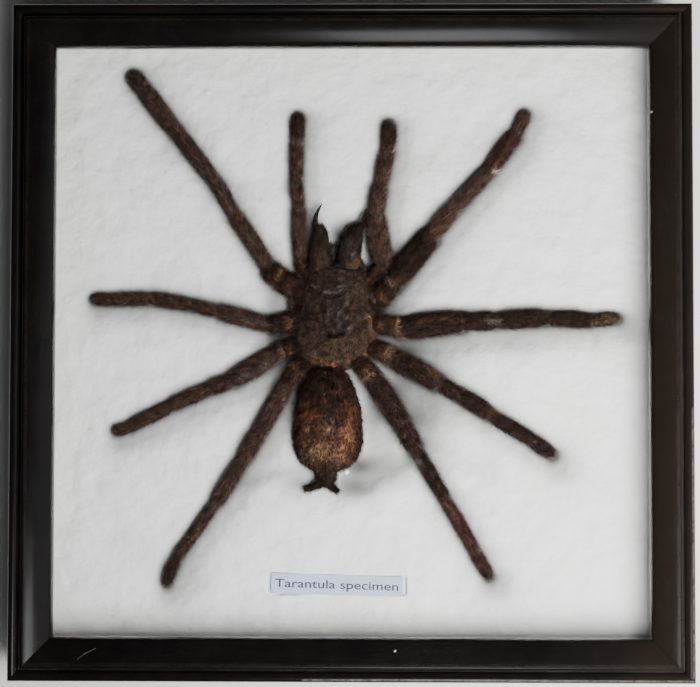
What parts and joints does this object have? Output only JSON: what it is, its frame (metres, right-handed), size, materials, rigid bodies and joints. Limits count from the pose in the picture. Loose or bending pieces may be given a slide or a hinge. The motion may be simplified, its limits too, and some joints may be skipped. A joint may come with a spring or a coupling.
{
  "type": "framed tarantula specimen",
  "caption": "Square shadow-box frame of black moulding with a glass front, holding a dried tarantula with spread legs and a small label on a white felted pad.",
  "frame": {"origin": "middle of the frame's footprint, on the plane of its back", "axes": "+Z out of the front of the frame, +Y towards its top rail, +X to the right when seen from the front"},
  "size_m": [0.203, 0.2014, 0.032],
  "materials": {
    "black_lacquer": "satin black lacquer, rubbed along the edges",
    "clear_glass": "clear, polished",
    "white_card": "matte white",
    "brown_hardboard": "matte pressed hardboard",
    "white_felt": "matte felted cotton",
    "zinc_steel": "zinc plated",
    "label_paper": "matte printed paper",
    "white_enamel": "gloss white",
    "brown_chitin": "satin, finely haired",
    "abdomen_hide": "matte, haired with a rubbed patch",
    "brown_bristle": "matte, densely haired"
  },
  "bodies": {
    "root": {"frame_rail_top": "black_lacquer", "frame_rail_bottom": "black_lacquer", "frame_rail_left": "black_lacquer", "frame_rail_right": "black_lacquer", "glass_pane": "clear_glass", "spacer_top": "white_card", "spacer_bottom": "white_card", "spacer_left": "white_card", "spacer_right": "white_card", "backing_pad": "white_felt", "back_board": "brown_hardboard", "board_point_1": "zinc_steel", "board_point_2": "zinc_steel", "board_point_3": "zinc_steel", "board_point_4": "zinc_steel", "board_point_5": "zinc_steel", "board_point_6": "zinc_steel", "board_point_7": "zinc_steel", "board_point_8": "zinc_steel", "hanger": "zinc_steel", "hanger_rivet_left": "zinc_steel", "hanger_rivet_right": "zinc_steel", "specimen_label": "label_paper", "pin": "white_enamel", "carapace": "brown_chitin", "abdomen": "abdomen_hide", "chelicera_left": "brown_chitin", "chelicera_right": "brown_chitin", "pedipalp_left": "brown_bristle", "pedipalp_right": "brown_bristle", "leg_1_left": "brown_bristle", "leg_2_left": "brown_bristle", "leg_3_left": "brown_bristle", "leg_4_left": "brown_bristle", "leg_1_right": "brown_bristle", "leg_2_right": "brown_bristle", "leg_3_right": "brown_bristle", "leg_4_right": "brown_bristle"}
  },
  "joints": []
}
